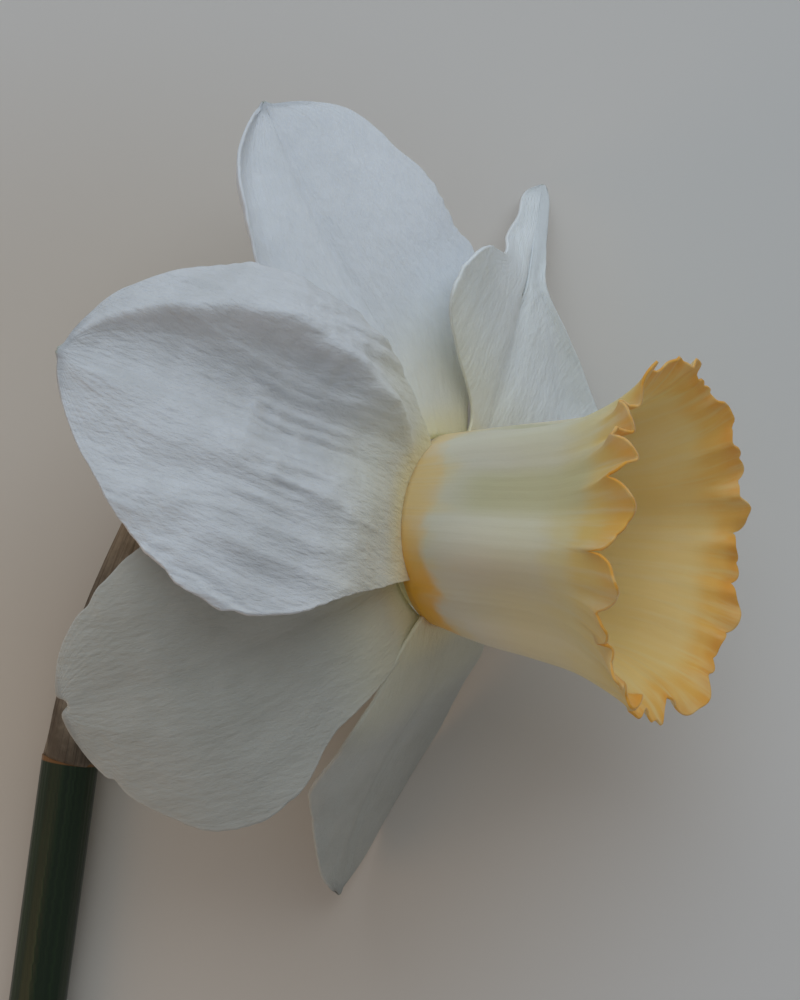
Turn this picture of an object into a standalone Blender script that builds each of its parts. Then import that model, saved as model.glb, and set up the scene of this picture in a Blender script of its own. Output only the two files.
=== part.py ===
"""A cut daffodil flower lying on a flat surface: trumpet, six petals, stamens, style and stem.

The flower is drawn in its own frame and then laid down. In the flower's frame +Z runs along the
trumpet, from the ring where the petals meet it to its mouth, and the ring's centre is the origin.
A petal is drawn pointing along +X, and is then turned about Z to its place round the ring.
The stem, stalk and sheath lie on the surface, so they are drawn from the ring's centre in
the world's directions. The world's origin is on the surface, under the middle of the whole thing.
"""
import math

import bmesh
import bpy
import numpy as np
from mathutils import Matrix, Vector

MM = 0.001

# ---- Where the flower lies ----------------------------------------------------------------
RING_HEIGHT = 26.0 * MM              # centre of the petal ring above the surface
RING_CENTRE = Vector((14.1 * MM, 53.6 * MM, RING_HEIGHT))
TRUMPET_RISE = math.radians(30)      # the trumpet points up from the surface by this much
TRUMPET_TURN = math.radians(-3)      # and is turned this much about the vertical
RING_RADIUS = 10.0 * MM              # the petals' bases follow this circle

# ---- Thicknesses and clearances -----------------------------------------------------------
PETAL_THICKNESS = 0.5 * MM
CORONA_THICKNESS = 0.6 * MM
TUBE_THICKNESS = 0.7 * MM
SHEATH_THICKNESS = 0.4 * MM

# ---- Trumpet (corona) ---------------------------------------------------------------------
CORONA_ALONG = np.array([0.6, 7, 14, 20, 25, 28.5]) * MM
CORONA_RADIUS = np.array([11.4, 12.6, 13.4, 14.6, 17.0, 19.7]) * MM
CORONA_RIBS = 6                      # broad ribs down its side
CORONA_RIB_DEPTH = 0.5 * MM
CORONA_FRILLS = 18                   # small ruffles round its mouth
CORONA_FRILL_DEPTH = 1.3 * MM
CORONA_FRILL_SPREAD = 0.6            # share of a ruffle that goes outwards
CORONA_FRILL_CURL = 0.8              # share of a ruffle that goes back along the trumpet
CORONA_FRILL_POWER = 5               # the ruffles grow towards the mouth with this power
CORONA_SPACING = 0.8                 # rings of the mesh lie closer together near the mouth
CORONA_SEGMENTS = 72
CORONA_STEPS = 9

# ---- Floral tube, ovary and what stands inside the trumpet ---------------------------------
TUBE_ALONG = np.array([-24.5, -18.5, -12, -6, -2.7]) * MM
TUBE_RADIUS = np.array([3.1, 3.6, 4.9, 7.2, 9.4]) * MM
TUBE_SEGMENTS = 24
OVARY_CENTRE = -30.6 * MM            # along the flower's Z
OVARY_LENGTH = 11.4 * MM
OVARY_RADIUS = 3.8 * MM
STYLE_ALONG = (-24.4 * MM, 18.0 * MM)
STYLE_RADIUS = 0.75 * MM
STIGMA_RADIUS = 1.5 * MM
STAMEN_COUNT = 6
STAMEN_PATH = np.array([(4.3, -9.5), (4.0, -4.0), (3.7, 2.0), (3.6, 6.0)]) * MM   # from the axis, along it
FILAMENT_RADIUS = 0.4 * MM
ANTHER_LENGTH = 8.0 * MM
ANTHER_RADIUS = 0.9 * MM

# ---- Stem, stalk and papery sheath, from the ring's centre ---------------------------------
STEM_RADIUS = 3.65 * MM
STEM_WALL = 1.3 * MM
STEM_HEIGHT = STEM_RADIUS - RING_HEIGHT          # centre line of the stem, which lies on the surface
STEM_PATH = [(-47.5, -29.0), (-49.4, -43), (-51.7, -60), (-55.0, -85), (-58.3, -115), (-59.8, -158)]
STEM_STATIONS = 15
STALK_RADIUS = (2.1, 2.0, 2.0, 2.1, 2.3)
STALK_PATH = [(-47.4, -28.4, -22.3), (-45.3, -19.5, -22.0), (-41.8, -9.0, -20.8), (-37.0, -1.0, -19.4),
              (-31.9, 1.5, -18.4)]
STALK_STATIONS = 12
SHEATH_PATH = [(-47.5, -28.1, -22.3), (-45.0, -20, -21.6), (-41.4, -10, -20.6), (-37.4, -1, -19.6),
               (-34.4, 7, -19.6), (-32.3, 13, -20.4)]
SHEATH_RADIUS = (3.35, 3.4, 3.5, 3.4, 2.9, 1.2)
SHEATH_OPENING = (12, 30, 52, 78, 100, 110)       # half the open angle on its right side, degrees
SHEATH_STATIONS = 14
SHEATH_SEGMENTS = 12

# ---- Petals and sepals ---------------------------------------------------------------------
# turn:    place round the ring, in degrees
# midrib:  out from the trumpet's axis, sideways, and along the axis, in mm
# left, right: half widths from base to tip, in mm; blunt: how square the tip is
# cup:     bend across the blade, in degrees; roll_left, roll_right: extra bend of the margins
# twist:   turn of the blade about its midrib, in degrees
PETALS = {
    "petal_near": dict(
        turn=72, blunt=7,
        midrib=[(10, 0, -0.4), (20, 0, -0.6), (30, 0, -5.5), (38, -1, -13), (46.5, -3, -25)],
        left=[5.5, 14.5, 20.5, 18.5, 11], right=[5.5, 15, 20.5, 20.5, 15], cup=[10, 0, -10],
        roll_right=[0, -30, -45, -30, 0], twist=[0]),
    "petal_far": dict(
        turn=328, blunt=10,
        midrib=[(10, 0, -0.4), (20, 0, 0.2), (31, 0, -0.4), (41, 0.5, -2), (50.8, 1.2, -5.6)],
        left=[4.5, 6, 15.5, 17.6, 14.8, 7.2, 4.6, 2.8, 3.2], right=[6.5, 12.5, 17, 20.5, 13, 4.5, 2.6, 2, 1.8],
        cup=[0, 10, 20], roll_right=[0, 50, 50, 20, 0], twist=[0]),
    "petal_low": dict(
        turn=198, blunt=7,
        midrib=[(10, 0, -0.4), (20, 0, -5), (30, -0.5, -12), (39.4, -1.5, -17.2), (47.6, -2.5, -20.1)],
        left=[6, 12, 13, 10, 6], right=[7.2, 10.9, 14.3, 16.2, 16.6, 12.8, 10, 8, 5], cup=[10, 0, 0],
        roll_right=[0, -15, -35, -10, 0], twist=[0]),
    "sepal_top": dict(
        turn=16, blunt=12,
        midrib=[(10, 0, -1.8), (20, 0, -5.5), (30, 1, -10.5), (39, 0.5, -15), (50, -1.5, -21)],
        left=[5.5, 8.5, 11, 12, 12, 12.2, 11.9, 9.9, 4.7], right=[5.5, 9.5, 13, 16.8, 17, 17, 16.1, 14.7, 15], cup=[10, 0, 0],
        twist=[0, -18, -26, -26, -26]),
    "sepal_low": dict(
        turn=119, blunt=9,
        midrib=[(10, 0, -1.8), (19, 0, -3.4), (28.5, 0, -9.3), (37, 0, -16.5), (44, 0, -26.5)],
        left=[7.2, 9.3, 11.4, 13.8, 19, 21.2, 21, 18.5, 15], right=[5.5, 14, 17, 16, 11], cup=[10, 0, -10],
        roll_right=[0, -20, -25, 0], twist=[0]),
    "sepal_under": dict(
        turn=262, blunt=7,
        midrib=[(10, 0, -1.8), (15.2, 0, -4.5), (18.1, 0, -11.4), (15.9, 0, -21), (9.7, 0, -33)],
        left=[5.5, 9, 13, 13, 7], right=[5.5, 9, 13, 13, 7], cup=[0], twist=[0]),
}
BASE_CURVE_POWER = 12                # how soon a petal's base stops following the ring
PETAL_SPACING = 0.85                 # rows of the mesh lie closer together near the tip
PETAL_LENGTHWAYS = 14
PETAL_CROSSWAYS = 8
ROLL_FROM = 0.55                     # the margins' extra bend starts here, as a fraction of the half width
TIP_WIDTH = 0.03                     # what is left of the width at the very tip
SECTION_STEPS = 24                   # steps along the bent section of a blade
HEADING_STEP = 0.001                 # how far apart on the midrib its direction is measured

COLOURS = {
    "petal": (0.80, 0.82, 0.84), "corona": (0.85, 0.60, 0.22), "green": (0.05, 0.13, 0.03),
    "tube": (0.55, 0.62, 0.30), "sheath": (0.36, 0.25, 0.14), "stamen": (0.80, 0.55, 0.10),
    "style": (0.70, 0.72, 0.40),
}


# ---- Small tools ---------------------------------------------------------------------------
def spline(values, s):
    """Smooth curve through evenly spaced values, read at s from 0 to 1."""
    knots = np.asarray(values, float)
    if len(knots) == 1:
        knots = np.repeat(knots, 2, axis=0)
    place = np.clip(np.asarray(s, float), 0, 1) * (len(knots) - 1)
    index = np.clip(np.floor(place).astype(int), 0, len(knots) - 2)
    t = place - index
    if knots.ndim == 2:
        t = t[..., None]
    ends = np.concatenate([[2 * knots[0] - knots[1]], knots, [2 * knots[-1] - knots[-2]]])
    before, here, there, after = ends[index], ends[index + 1], ends[index + 2], ends[index + 3]
    return 0.5 * (2 * here + (there - before) * t + (2 * before - 5 * here + 4 * there - after) * t ** 2
                  + (3 * here - before - 3 * there + after) * t ** 3)


def unit(vectors):
    return vectors / np.linalg.norm(vectors, axis=-1, keepdims=True)


def material(name, colour, roughness):
    made = bpy.data.materials.new(name)
    made.use_nodes = True
    shader = made.node_tree.nodes["Principled BSDF"]
    shader.inputs["Base Color"].default_value = (*colour, 1)
    shader.inputs["Roughness"].default_value = roughness
    shader.inputs["Metallic"].default_value = 0
    return made


def place(name, data, parent, colour, roughness=0.6):
    """A new named object in the flower's collection, with its own material."""
    piece = bpy.data.objects.new(name, data)
    bpy.data.collections["daffodil_flower"].objects.link(piece)
    piece.parent = parent
    data.materials.append(material(name, COLOURS[colour], roughness))
    return piece


def grid_mesh(name, points, closed=False):
    """Quads over a grid of points; closed joins the last column to the first."""
    rows, columns = points.shape[:2]
    last = columns if closed else columns - 1
    faces = []
    for row in range(rows - 1):
        for column in range(last):
            beside = (column + 1) % columns
            faces.append((row * columns + column, row * columns + beside,
                          (row + 1) * columns + beside, (row + 1) * columns + column))
    mesh = bpy.data.meshes.new(name)
    mesh.from_pydata(points.reshape(-1, 3).tolist(), [], faces)
    mesh.shade_smooth()
    return mesh


def thicken(piece, thickness, offset=0.0):
    shell = piece.modifiers.new("thickness", "SOLIDIFY")
    shell.thickness = thickness
    shell.offset = offset
    shell.use_even_offset = True
    return shell


def tube_curve(name, path, radii, sides=3):
    """A curve of the given path with its radius at each point, round in section, with filled caps."""
    curve = bpy.data.curves.new(name, "CURVE")
    curve.dimensions = "3D"
    curve.bevel_depth = 1.0
    curve.bevel_resolution = sides
    curve.use_fill_caps = True
    line = curve.splines.new("POLY")
    line.points.add(len(path) - 1)
    for point, place_at, radius in zip(line.points, path, radii):
        point.co = (*place_at, 1)
        point.radius = radius
    return curve


# ---- The pieces ----------------------------------------------------------------------------
def petal_points(shape):
    """The middle surface of one petal, pointing along +X, from base to tip and from left to right."""
    s = np.sin(np.linspace(0, 1, PETAL_LENGTHWAYS + 1) * math.pi / 2) ** PETAL_SPACING
    across = np.linspace(-1, 1, PETAL_CROSSWAYS + 1)
    midrib = spline(np.array(shape["midrib"]) * MM, s)
    before = spline(shape["midrib"], np.maximum(s - HEADING_STEP, 0))
    after = spline(shape["midrib"], np.minimum(s + HEADING_STEP, 1))
    heading = unit(after - before)
    side = np.array([0.0, -1.0, 0.0])
    side = unit(side - (heading @ side)[:, None] * heading)
    face = np.cross(side, heading)
    twist = np.radians(spline(shape["twist"], s))[:, None]
    face, side = face * np.cos(twist) + side * np.sin(twist), side * np.cos(twist) - face * np.sin(twist)
    out, along = np.meshgrid(across, s)
    narrowing = np.sqrt(1 - (1 - TIP_WIDTH ** 2) * along ** shape["blunt"])
    half = np.where(out < 0, spline(shape["left"], along), spline(shape["right"], along)) * MM * narrowing
    cup = spline(shape["cup"], along)
    roll = np.where(out < 0, spline(shape.get("roll_left", [0]), along),
                    spline(shape.get("roll_right", [0]), along))
    flat = np.zeros_like(out)
    lift = np.zeros_like(out)
    for number in range(SECTION_STEPS):
        reach = (number + 0.5) / SECTION_STEPS * np.abs(out)
        margin = np.clip((reach - ROLL_FROM) / (1 - ROLL_FROM), 0, 1)
        angle = np.radians(cup * reach + roll * margin)
        flat += np.cos(angle) * np.abs(out) / SECTION_STEPS
        lift += np.sin(angle) * np.abs(out) / SECTION_STEPS
    flat = (flat * half * np.sign(out))[..., None]
    lift = (lift * half)[..., None]
    points = midrib[:, None, :] + flat * side[:, None, :] + lift * face[:, None, :]
    near_base = (1 - along) ** BASE_CURVE_POWER
    points[..., 0] -= near_base * flat[..., 0] ** 2 / (2 * RING_RADIUS)
    return points


def make_petals(flower):
    for name, shape in PETALS.items():
        petal = place(name, grid_mesh(name, petal_points(shape)), flower, "petal")
        petal.rotation_euler.z = math.radians(shape["turn"])
        thicken(petal, PETAL_THICKNESS)


def make_corona(flower):
    s = np.linspace(0, 1, CORONA_STEPS + 1) ** CORONA_SPACING
    turn = np.arange(CORONA_SEGMENTS) * 2 * math.pi / CORONA_SEGMENTS
    turn, s = np.meshgrid(turn, s)
    radius = spline(CORONA_RADIUS, s) + CORONA_RIB_DEPTH * np.sin(math.pi * s) * np.cos(CORONA_RIBS * turn)
    frill = CORONA_FRILL_DEPTH * s ** CORONA_FRILL_POWER * np.cos(CORONA_FRILLS * turn)
    radius = radius + CORONA_FRILL_SPREAD * frill
    along = spline(CORONA_ALONG, s) - CORONA_FRILL_CURL * frill
    points = np.stack([radius * np.cos(turn), radius * np.sin(turn), along], -1)
    corona = place("corona", grid_mesh("corona", points, closed=True), flower, "corona")
    thicken(corona, CORONA_THICKNESS)


def make_tube(flower):
    """The funnel between the ovary and the petals: a profile turned about Z, then given its wall."""
    s = np.linspace(1, 0, 8)
    profile = bpy.data.meshes.new("floral_tube")
    outline = [(r, 0, z) for r, z in zip(spline(TUBE_RADIUS, s), spline(TUBE_ALONG, s))]
    profile.from_pydata(outline, [(i, i + 1) for i in range(len(outline) - 1)], [])
    tube = place("floral_tube", profile, flower, "tube")
    turned = tube.modifiers.new("turn", "SCREW")
    turned.steps = turned.render_steps = TUBE_SEGMENTS
    turned.use_merge_vertices = True
    turned.merge_threshold = 0.0001
    thicken(tube, TUBE_THICKNESS)


def make_ovary(flower):
    bpy.ops.mesh.primitive_uv_sphere_add(segments=16, ring_count=10, radius=1)
    ovary = bpy.context.object
    mesh = ovary.data
    mesh.transform(Matrix.Diagonal((OVARY_RADIUS, OVARY_RADIUS, OVARY_LENGTH / 2, 1)))
    mesh.shade_smooth()
    bpy.data.objects.remove(ovary)
    place("ovary", mesh, flower, "green").location.z = OVARY_CENTRE


def make_style(flower):
    """A thin stalk up the middle, swelling to the stigma at its end."""
    heights = np.array([0, 0.3, 0.6, 0.88, 0.95, 0.985, 1.0])
    widths = np.array([1, 0.8, 0.8, 0.9, 1.5, 2.0, 1.4]) * STYLE_RADIUS
    low, high = STYLE_ALONG
    path = [(0, 0, low + (high - low) * h) for h in heights]
    place("style", tube_curve("style", path, np.minimum(widths, STIGMA_RADIUS)), flower, "style")


def make_stamens(flower):
    """Six filaments from the tube's wall, each with a long anther at its end."""
    filament = [(r, 0, z) for r, z in spline(STAMEN_PATH, np.linspace(0, 1, 5))]
    top = filament[-1]
    swell = [(0.04, 0.9), (0.15, 1.0), (0.5, 0.95), (0.85, 0.9), (1.0, 0.45)]
    anther = [(top[0], 0, top[2] + ANTHER_LENGTH * h) for h, _ in swell]
    radii = [FILAMENT_RADIUS] * len(filament) + [ANTHER_RADIUS * w for _, w in swell]
    for number in range(STAMEN_COUNT):
        name = f"stamen_{number + 1}"
        stamen = place(name, tube_curve(name, filament + anther, radii, 2), flower, "stamen")
        stamen.rotation_euler.z = 2 * math.pi * (number + 0.5) / STAMEN_COUNT


def make_stem(ring):
    """The hollow flower stalk, closed at its top and open where it was cut."""
    flat_path = spline(np.array(STEM_PATH) * MM, np.linspace(0, 1, STEM_STATIONS))
    path = [(x, y, STEM_HEIGHT) for x, y in flat_path]
    curve = tube_curve("stem", path, [STEM_RADIUS] * len(path), 4)
    curve.use_fill_caps = False
    drawn = bpy.data.objects.new("stem_line", curve)
    bpy.data.collections["daffodil_flower"].objects.link(drawn)
    evaluated = drawn.evaluated_get(bpy.context.evaluated_depsgraph_get())
    mesh = bpy.data.meshes.new_from_object(evaluated)
    bpy.data.objects.remove(drawn)
    mesh.name = "stem"
    close_top(mesh, Vector(path[0]))
    mesh.shade_smooth()
    mesh.set_sharp_from_angle(angle=math.radians(40))
    stem = place("stem", mesh, ring, "green", 0.5)
    thicken(stem, STEM_WALL, offset=-1.0)


def close_top(mesh, top):
    """Fills the open loop of the tube that is at the given end."""
    work = bmesh.new()
    work.from_mesh(mesh)
    rim = [edge for edge in work.edges if edge.is_boundary
           and all((vert.co - top).length < 1.5 * STEM_RADIUS for vert in edge.verts)]
    bmesh.ops.edgeloop_fill(work, edges=rim)
    bmesh.ops.recalc_face_normals(work, faces=work.faces)
    work.to_mesh(mesh)
    work.free()


def make_stalk(ring):
    s = np.linspace(0, 1, STALK_STATIONS)
    path = spline(np.array(STALK_PATH) * MM, s)
    place("pedicel", tube_curve("pedicel", path, spline(np.array(STALK_RADIUS) * MM, s)), ring, "green", 0.5)


def make_sheath(ring):
    """The papery spathe: a sheath round the stalk, open on its right, that runs on to a thin tip."""
    s = np.linspace(0, 1, SHEATH_STATIONS)
    centre = spline(np.array(SHEATH_PATH) * MM, s)
    heading = unit(np.gradient(centre, axis=0))
    up = np.array([0.0, 0.0, 1.0])
    up = unit(up - (heading @ up)[:, None] * heading)
    right = np.cross(heading, up)
    radius = spline(np.array(SHEATH_RADIUS) * MM, s)[:, None, None]
    opening = np.radians(spline(SHEATH_OPENING, s))[:, None]
    angle = (opening + (2 * math.pi - 2 * opening) * np.linspace(0, 1, SHEATH_SEGMENTS + 1))[..., None]
    points = centre[:, None] + radius * (np.cos(angle) * right[:, None] + np.sin(angle) * up[:, None])
    sheath = place("spathe", grid_mesh("spathe", points), ring, "sheath", 0.8)
    thicken(sheath, SHEATH_THICKNESS)


def main():
    for leftover in list(bpy.data.objects):
        bpy.data.objects.remove(leftover)
    collection = bpy.data.collections.new("daffodil_flower")
    bpy.context.scene.collection.children.link(collection)

    ring = bpy.data.objects.new("ring_centre", None)
    ring.location = RING_CENTRE
    flower = bpy.data.objects.new("flower_frame", None)
    flower.parent = ring
    lay_down = Matrix.Rotation(TRUMPET_TURN, 3, "Z") @ Matrix.Rotation(-TRUMPET_RISE, 3, "Y")
    trumpet_along_x = Matrix(((0, 0, 1), (1, 0, 0), (0, 1, 0)))
    flower.rotation_euler = (lay_down @ trumpet_along_x).to_euler()
    for empty in (ring, flower):
        collection.objects.link(empty)

    make_petals(flower)
    make_corona(flower)
    make_tube(flower)
    make_ovary(flower)
    make_style(flower)
    make_stamens(flower)
    make_stem(ring)
    make_stalk(ring)
    make_sheath(ring)


main()
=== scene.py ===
"""A cut daffodil lying on a pale surface: the fine shapes and finishes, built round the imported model.

The flower's own frame has +Z along the trumpet, from the ring where the petals meet it to the mouth.
A petal is drawn pointing along +X and turned about Z to its place. Sizes here are in millimetres
in the tables and in metres everywhere else; colours are linear red, green and blue.
"""
import math

import bmesh
import bpy
import numpy as np
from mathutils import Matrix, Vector


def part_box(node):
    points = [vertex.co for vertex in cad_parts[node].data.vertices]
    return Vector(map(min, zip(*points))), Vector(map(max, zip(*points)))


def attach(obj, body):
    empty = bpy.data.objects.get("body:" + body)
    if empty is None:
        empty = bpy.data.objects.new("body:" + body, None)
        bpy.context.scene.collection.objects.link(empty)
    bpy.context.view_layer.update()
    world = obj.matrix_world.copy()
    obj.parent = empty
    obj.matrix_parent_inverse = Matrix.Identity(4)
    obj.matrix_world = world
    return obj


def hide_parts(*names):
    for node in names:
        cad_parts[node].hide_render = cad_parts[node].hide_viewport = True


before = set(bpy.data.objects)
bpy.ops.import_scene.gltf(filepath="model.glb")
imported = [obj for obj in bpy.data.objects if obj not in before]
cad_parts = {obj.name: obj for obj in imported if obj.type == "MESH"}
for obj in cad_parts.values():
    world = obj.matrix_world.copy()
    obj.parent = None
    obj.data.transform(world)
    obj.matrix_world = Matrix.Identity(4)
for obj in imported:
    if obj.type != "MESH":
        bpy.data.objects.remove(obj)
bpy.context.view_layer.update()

MM = 0.001
FULL_TURN = 2 * math.pi
TRUMPET_RISE = math.radians(30)
TRUMPET_TURN = math.radians(-3)
OVARY_TO_RING = 30.6 * MM            # from the ovary's middle to the petal ring, along the trumpet

# ---- Petals: the same driving sizes as the model's, with the folds that the fine surface adds ----
# turn: place round the ring, degrees. midrib: out, sideways, along. left, right: half widths.
# cup, roll_left, roll_right, twist: bends in degrees from base to tip. folds: (across, width, height,
# where along it is strongest, spread) of long ridges (+) and valleys (-). notches: (along, side, depth,
# width) of torn nicks in the margin. mucro: length of the small point at the tip. crepe: how strongly
# it is crinkled.
PETALS = {
    "petal_near": dict(
        turn=72, blunt=7,
        midrib=[(10, 0, -0.4), (20, 0, -0.6), (30, 0, -5.5), (38, -1, -13), (46.5, -3, -25)],
        left=[8.5, 14.5, 20.5, 18.0, 10], right=[7, 15, 20.5, 20.5, 15], cup=[10, 4, -8],
        roll_right=[0, -25, -55, -50, 0], twist=[0],
        folds=[(0.58, 0.10, 2.8, 0.52, 0.5), (0.2, 0.27, -3.5, 0.55, 0.42), (-0.32, 0.12, 0.35, 0.5, 0.3),
               (-0.62, 0.1, 0.3, 0.6, 0.3)],
        mucro=0.5, crepe=2.3, seed=3, rows=200, columns=190),
    "petal_far": dict(
        turn=328, blunt=14,
        midrib=[(10, 0, -0.4), (20, 0, 0.2), (31, 0, -0.4), (41, 0.5, -2), (50.8, 1.2, -3.4)],
        left=[2.5, 5, 17.5, 18.6, 14.8, 7, 4.6, 2.8, 4],
        right=[6.5, 13, 18, 22.5, 13.5, 3.5, 1.9, 1.4, 1.3], cup=[0, 10, 10],
        roll_right=[0, 50, 50, 20, 0], twist=[0, 0, 0, 0, -15, -50, -75],
        folds=[(0.02, 0.13, -1.0, 0.55, 0.5), (0.5, 0.2, 0.4, 0.4, 0.3)],
        mucro=0.3, crepe=0.3, seed=5, rows=150, columns=120),
    "petal_low": dict(
        turn=198, blunt=7,
        midrib=[(10, 0, -0.4), (20, 0, -5), (30, -0.5, -12), (39.4, -1.5, -17.2), (47.6, -2.5, -20.1)],
        left=[6, 12, 13, 10, 6], right=[8, 13.6, 17.4, 16.5, 16.6, 12.8, 10, 8, 5.1], cup=[10, 0, 0],
        roll_right=[-10, -20, -35, -10, 0],
        twist=[0], folds=[(0.0, 0.12, -0.5, 0.6, 0.5)], crepe=0.35, seed=8, rows=150, columns=120),
    "sepal_top": dict(
        turn=16, blunt=12,
        midrib=[(10, 0, -1.8), (20, 0, -5.5), (30, 1, -10.5), (39, 0.5, -15), (50, -1.5, -21)],
        left=[7, 9, 11, 12, 12, 12.2, 11.9, 9.9, 4.7], right=[7.5, 10, 14, 17.8, 17, 17, 16.1, 14.7, 16],
        cup=[10, 0, 0],
        roll_left=[0, 0, 40, 90, 70], twist=[0, -18, -26, -26, -26],
        folds=[(0.02, 0.08, -0.7, 0.6, 0.5), (0.5, 0.25, 0.5, 0.6, 0.4)],
        mucro=0.5, crepe=0.25, seed=13, rows=150, columns=120),
    "sepal_low": dict(
        turn=119, blunt=9,
        midrib=[(10, 0, -1.8), (19, 0, -3.4), (28.5, 0, -9.3), (37, 0, -16.5), (44, 0, -26.5)],
        left=[7.5, 9.8, 11.4, 13.5, 19, 21.2, 21, 18.5, 15], right=[8, 14, 17, 16, 11], cup=[10, 0, -10],
        roll_right=[0, -20, -25, 0], twist=[0],
        folds=[(-0.35, 0.14, 0.35, 0.6, 0.4), (0.05, 0.16, -0.4, 0.6, 0.4), (-0.62, 0.12, 0.3, 0.5, 0.3)],
        notches=[(0.88, 1, 0.05, 0.02), (0.93, -1, 0.08, 0.01)],
        mucro=-2.2, crepe=0.35, seed=21, rows=150, columns=140),
    "sepal_under": dict(
        turn=262, blunt=7,
        midrib=[(10, 0, -1.8), (15.2, 0, -4.5), (18.1, 0, -11.4), (15.9, 0, -21), (9.7, 0, -33)],
        left=[5.5, 9, 13, 13, 7], right=[5.5, 9, 13, 13, 7], cup=[0], twist=[0],
        folds=[(0.0, 0.12, -0.3, 0.6, 0.5)], crepe=0.2, seed=34, rows=120, columns=100),
}
RING_RADIUS = 10.0 * MM
BASE_CURVE_POWER = 12                # how soon a petal's base stops following the ring
BASE_STANDOFF = 0.8 * MM             # the bases start just outside the tube's lip
PETAL_THICKNESS = 0.42 * MM
ROLL_FROM = 0.55                     # how far out from the midrib a margin starts to roll
TIP_WIDTH = 0.03
SECTION_STEPS = 40
CREPE_LAYERS = ((4.5, 4.0, 0.22), (2.1, 3.4, 0.19), (1.1, 3.0, 0.10))   # size, stretch, depth
PETAL_VEINS = 26
PETAL_VEIN_DEPTH = 0.012 * MM
FLAT_PATTERN = 60.0 * MM             # one turn of the petals' flat pattern coordinates

# ---- Trumpet --------------------------------------------
CORONA_ALONG = np.array([-0.5, 7, 14, 19.6, 23.6, 26.2, 27.4]) * MM
CORONA_RADIUS = np.array([11.15, 12.6, 13.4, 14.5, 16.4, 18.2, 19.6]) * MM
CORONA_THICKNESS = 0.3 * MM
CORONA_AROUND = 480
CORONA_UPWARDS = 96
CORONA_RIBS = 6
CORONA_MAJOR_LOBES = 10
CORONA_LOBES = 20
LOBE_RUFFLE = 0.75 * MM
LOBE_REACH = 1.3 * MM
# from, to, in degrees round the mouth, and reach in mm
MOUTH_LOBES = [(20, 44, 1.6), (44, 58, 2.0), (58, 71, 3.4), (71, 93, 4.7), (93, 112, 3.2), (112, 123, 1.8),
               (123, 141, 2.0), (141, 162, 2.4)]
FLUTE_DEPTH = 2.0 * MM
FLUTE_PHASE = 2.2
MOUTH_FROM = 0.5                     # share of the trumpet's length where the frill begins
CRIMP_DEPTH = 0.35 * MM
CORONA_SEED = 71
CORONA_VEINS = 72
CORONA_VEIN_DEPTH = 0.012 * MM

# ---- Stem, stalk and sheath, from the ring's centre -----
STEM_RADIUS = 3.6 * MM
STEM_WALL = 1.2 * MM
STEM_PATH = [(-47.5, -29.0), (-49.4, -43), (-51.7, -60), (-55.0, -85), (-58.3, -115), (-59.8, -158)]
STALK_PATH = [(-47.4, -28.4, -22.3), (-45.3, -19.5, -22.0), (-41.8, -9.0, -20.8), (-37.0, -1.0, -19.4),
              (-31.9, 1.5, -18.4), (-30.6, 1.5, -17.8)]
SHEATH_PATH = [(-47.55, -29.2, -22.3), (-45.0, -20, -21.6), (-41.4, -10, -20.6), (-37.4, -1, -19.6),
               (-34.4, 7, -19.6), (-32.3, 13, -20.4)]
SHEATH_RADIUS = (3.4, 3.4, 3.5, 3.4, 2.9, 0.25)
SHEATH_OPENING = (8, 30, 52, 78, 100, 110)     # half angle of the split, degrees
SHEATH_THICKNESS = 0.22 * MM
SHEATH_SEED = 90
STALK_RADIUS = 2.05 * MM

# ---- Behind and inside the trumpet ----------------------
TUBE_ALONG = np.array([-26.4, -22.5, -17.5, -12, -7.0, -3.0, -0.5]) * MM
TUBE_RADIUS = np.array([2.3, 3.2, 3.7, 4.9, 7.0, 9.2, 10.8]) * MM
STAMEN_PATH = np.array([(4.5, -9.8), (4.0, -4.0), (3.7, 2.0), (3.6, 6.0)]) * MM
ANTHER_LENGTH = 8.0 * MM
STAMEN_COUNT = 6
STAMEN_RADII = (0.36, 0.92)          # of the filament and of the anther
TUBE_WALL = 0.6 * MM
TUBE_RIDGES = 6
OVARY_HALF_LENGTH = 5.7 * MM
OVARY_RADIUS = 3.75 * MM
STYLE_START = -24.6
STYLE_LENGTH = 42.4
STYLE_RADIUS = 0.62

# ---- Floor, light and camera ----------------------------
FLOOR_SHADE_PATCH = (-50, -22, -25)         # where a darker warm patch of painted shade lies on the pale surface, from the ring
SKY_STRENGTH = 0.23
CAMERA_LENS = 91.8
CAMERA_PLACE = (-5.88, 3.53, 300)    # straight above the flower, from the ring


# ---- Geometry tools -------------------------------------
def spline(values, s):
    """Smooth curve through evenly spaced values, read at s from 0 to 1."""
    knots = np.asarray(values, float)
    if len(knots) == 1:
        knots = np.repeat(knots, 2, axis=0)
    place = np.clip(np.asarray(s, float), 0, 1) * (len(knots) - 1)
    index = np.clip(np.floor(place).astype(int), 0, len(knots) - 2)
    t = place - index
    if knots.ndim == 2:
        t = t[..., None]
    ends = np.concatenate([[2 * knots[0] - knots[1]], knots, [2 * knots[-1] - knots[-2]]])
    before, here, there, after = ends[index], ends[index + 1], ends[index + 2], ends[index + 3]
    return 0.5 * (2 * here + (there - before) * t + (2 * before - 5 * here + 4 * there - after) * t ** 2
                  + (3 * here - before - 3 * there + after) * t ** 3)


def unit(vectors):
    return vectors / np.linalg.norm(vectors, axis=-1, keepdims=True)


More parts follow.
